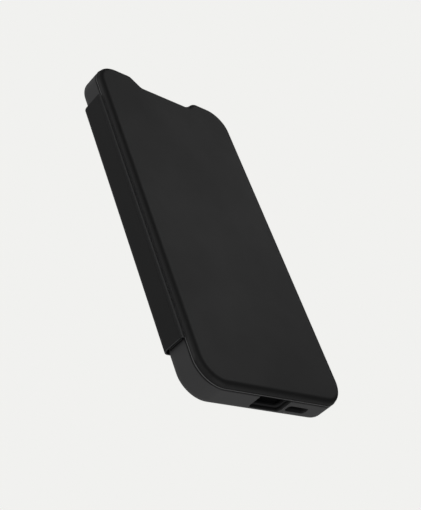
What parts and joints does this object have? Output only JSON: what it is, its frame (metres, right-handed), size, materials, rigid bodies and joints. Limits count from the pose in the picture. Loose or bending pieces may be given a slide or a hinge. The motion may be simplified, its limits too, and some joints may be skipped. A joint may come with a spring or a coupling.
{
  "type": "phone wallet case",
  "caption": "Slim black folio phone case: soft bumper and hard tray, a spine and a stiff magnetic front cover with a card pocket inside, all wrapped in one matte skin.",
  "frame": {"origin": "centre of the back, on the flat face of the back skin that the closed case rests on", "axes": "+X to the side with the buttons, away from the spine; +Y to the phone's top end; +Z from the back to the front cover"},
  "size_m": [0.079, 0.157, 0.0136],
  "materials": {
    "skin": "matte black synthetic leather with a very fine grain",
    "bumper": "satin soft moulded polyurethane, dark grey",
    "tray": "moulded polycarbonate, satin black",
    "lining": "short brushed microfibre, charcoal",
    "board": "plain stiffener board",
    "foam": "fine closed-cell foam sheet",
    "button": "satin moulded caps",
    "bezel": "polished black ring",
    "magnet": "nickel-plated magnet",
    "steel": "plain cold-rolled strip"
  },
  "bodies": {
    "shell": {"inner_tray": "tray", "bumper": "bumper", "back_skin": "skin", "back_lining": "lining", "camera_bezel": "bezel", "keeper_plate_1": "steel", "keeper_plate_2": "steel"},
    "spine": {"back_fold": "skin", "spine_skin": "skin", "spine_board": "board", "spine_lining": "lining", "cover_fold": "skin"},
    "cover": {"cover_skin": "skin", "cover_board": "board", "card_spacer": "foam", "cover_lining": "lining", "closure_magnet_1": "magnet", "closure_magnet_2": "magnet"},
    "volume_button": {"volume_button": "button"},
    "power_button": {"power_button": "button"}
  },
  "joints": [
    {"name": "back_hinge", "type": "hinge", "parent": "shell", "child": "spine", "pos_m": [-0.03922, 0, 0.00081], "axis": [0, -1, 0], "range_deg": [0, 175], "deforming": ["back_fold"]},
    {"name": "cover_hinge", "type": "hinge", "parent": "spine", "child": "cover", "pos_m": [-0.04003, 0, 0.01067], "axis": [0, -1, 0], "range_deg": [0, 175], "deforming": ["cover_fold"]},
    {"name": "volume_press", "type": "slide", "parent": "shell", "child": "volume_button", "axis": [-1, 0, 0], "range_m": [0, 0.00035], "stiffness_N_per_m": 3000},
    {"name": "power_press", "type": "slide", "parent": "shell", "child": "power_button", "axis": [-1, 0, 0], "range_m": [0, 0.00035], "stiffness_N_per_m": 3000}
  ]
}
